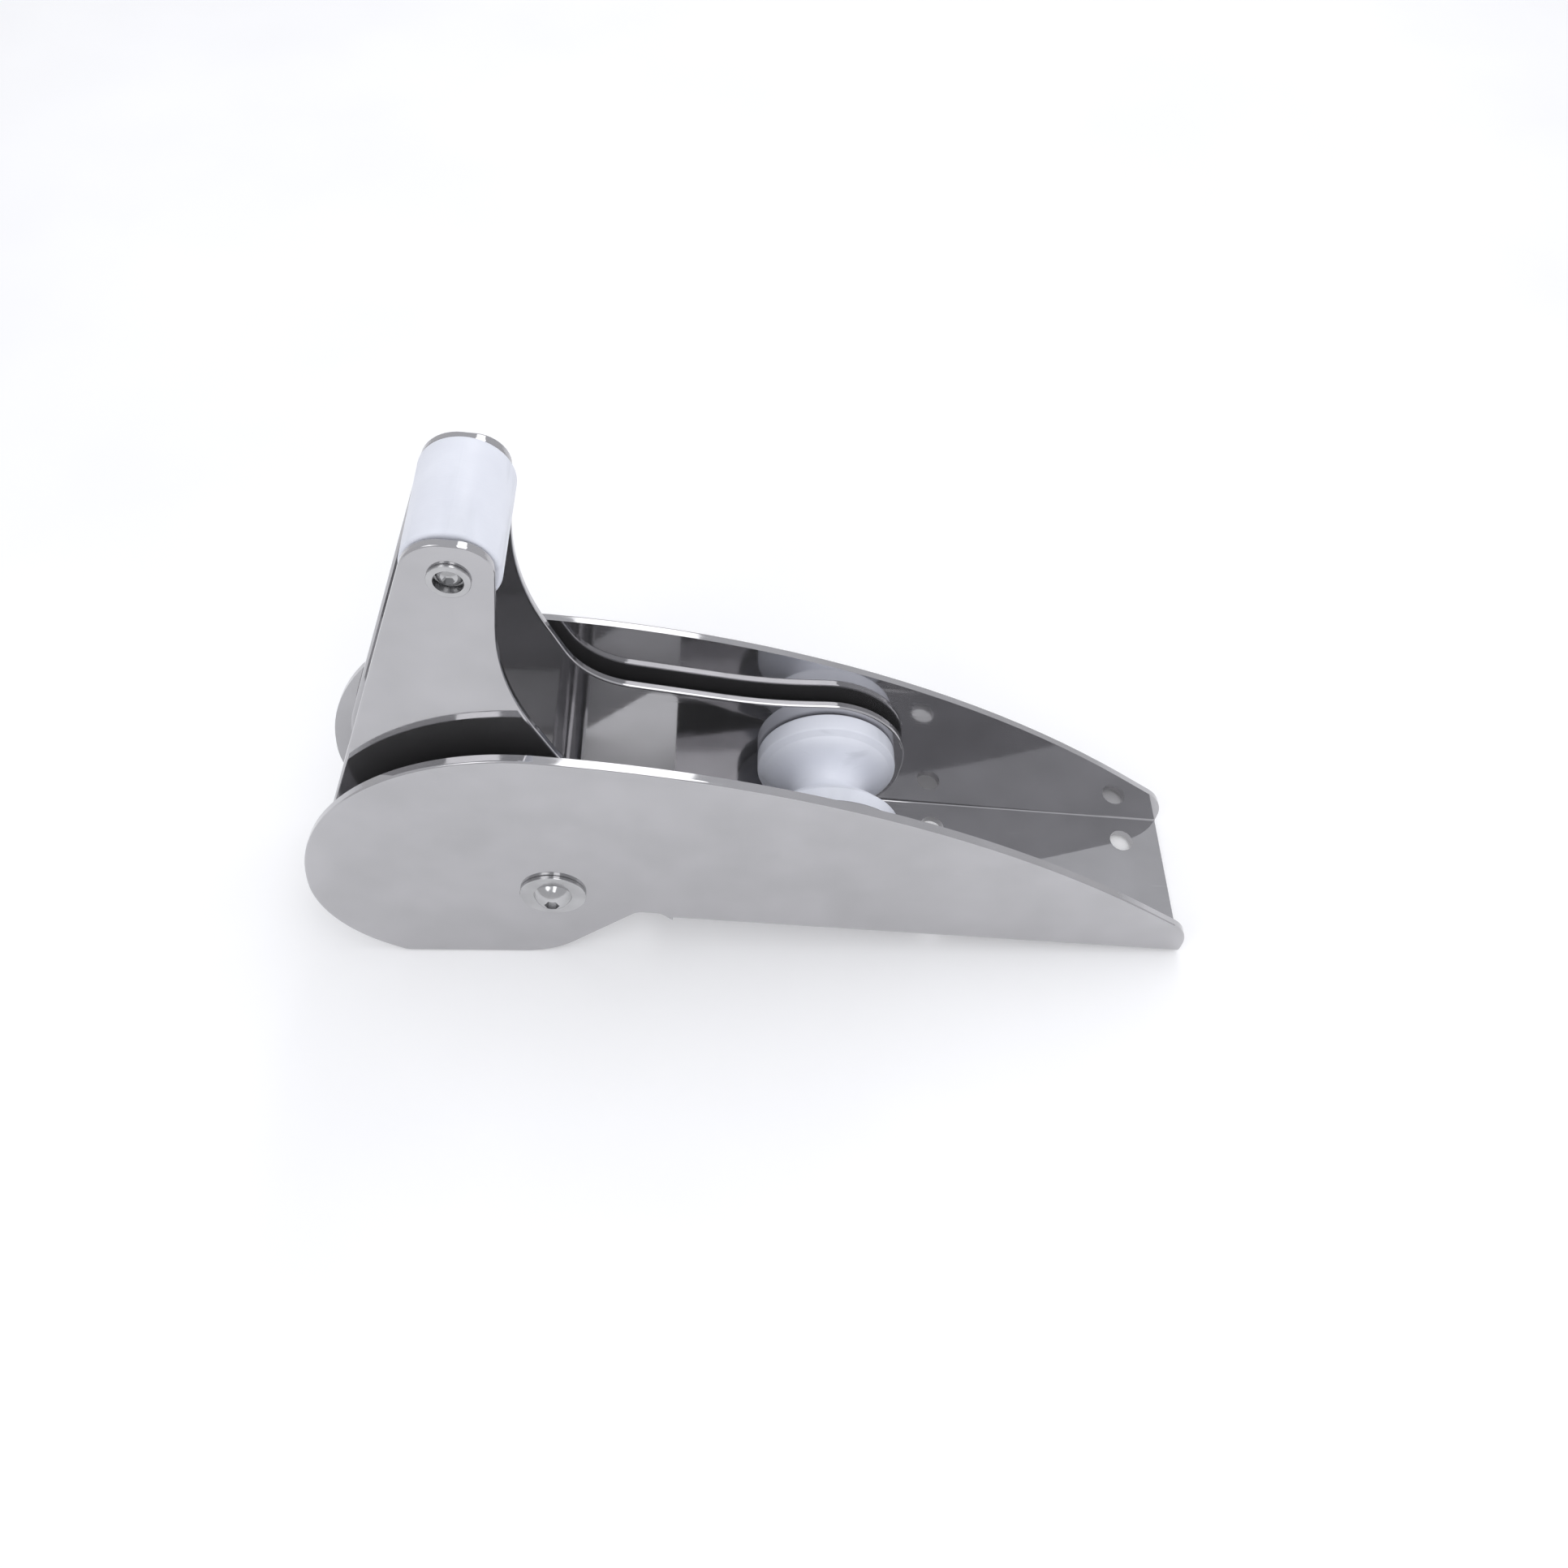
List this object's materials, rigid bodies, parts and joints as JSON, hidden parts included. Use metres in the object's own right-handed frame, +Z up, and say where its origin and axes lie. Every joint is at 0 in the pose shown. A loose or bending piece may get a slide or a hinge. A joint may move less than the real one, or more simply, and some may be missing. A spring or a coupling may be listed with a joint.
{
  "type": "bow roller",
  "caption": "Tipping bow roller: a polished channel holds a pivoting cradle with a plain roller on a raised arm and a spool roller aft.",
  "frame": {"origin": "centre of the four deck bolt holes, on the underside of the channel floor", "axes": "+X aft along the deck, +Y to starboard, +Z up off the deck; the bow lobe is at -X"},
  "size_m": [0.4153, 0.105, 0.2688],
  "materials": {
    "polished_steel": "mirror-polished stainless steel",
    "fastener_steel": "bright turned stainless steel",
    "white_plastic": "smooth white plastic",
    "black_nylon": "black nylon",
    "natural_nylon": "natural nylon"
  },
  "bodies": {
    "channel": {"channel": "polished_steel", "pivot_bolt": "fastener_steel", "pivot_washers": "fastener_steel", "pivot_nut": "fastener_steel", "pivot_nut_insert": "natural_nylon"},
    "cradle": {"pivot_tube": "polished_steel", "cradle_plate_port": "polished_steel", "cradle_plate_starboard": "polished_steel", "pivot_bush_port": "black_nylon", "pivot_bush_starboard": "black_nylon", "top_axle": "fastener_steel", "top_axle_cap_port": "fastener_steel", "top_axle_cap_starboard": "fastener_steel", "top_axle_screws": "fastener_steel", "spool_axle": "fastener_steel", "spool_axle_cap_port": "fastener_steel", "spool_axle_cap_starboard": "fastener_steel", "spool_axle_screws": "fastener_steel"},
    "top_roller": {"top_roller": "white_plastic"},
    "spool_roller": {"spool_roller": "white_plastic"}
  },
  "joints": [
    {"name": "cradle_tip", "type": "hinge", "parent": "channel", "child": "cradle", "pos_m": [-0.235, 0, 0.0195], "axis": [0, -1, 0], "range_deg": [0, 80]},
    {"name": "top_roller_spin", "type": "hinge", "parent": "cradle", "child": "top_roller", "pos_m": [-0.2742, 0, 0.2064], "axis": [0, 1, 0], "continuous": true},
    {"name": "spool_roller_spin", "type": "hinge", "parent": "cradle", "child": "spool_roller", "pos_m": [-0.112, 0, 0.049], "axis": [0, 1, 0], "continuous": true}
  ]
}
